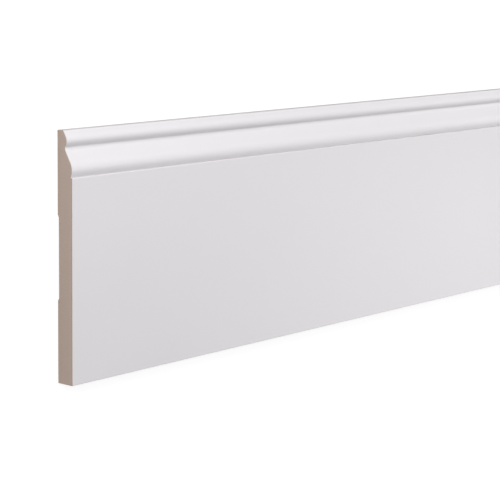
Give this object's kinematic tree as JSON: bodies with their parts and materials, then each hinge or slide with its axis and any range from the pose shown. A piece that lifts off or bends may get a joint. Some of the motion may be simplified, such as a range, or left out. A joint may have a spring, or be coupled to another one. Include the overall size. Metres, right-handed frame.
{
  "type": "skirting board",
  "caption": "Skirting board length: flat white-painted face with a bead and an ogee along its top edge, a shallow relief channel in its back, and square-sawn ends of bare fibreboard.",
  "frame": {"origin": "middle of the board's length and height, at the plane of the two back lands that it lies on", "axes": "+X along the length, +Y across the face from the bottom edge to the moulded top edge, +Z out of the face; the board lies on its back, face up"},
  "size_m": [2, 0.2, 0.016],
  "materials": {
    "painted_fibreboard": "satin white factory paint on the face, the top land and the bottom edge; bare brown fibreboard on the back and the sawn ends"
  },
  "bodies": {
    "root": {"skirting_board": "painted_fibreboard"}
  },
  "joints": []
}
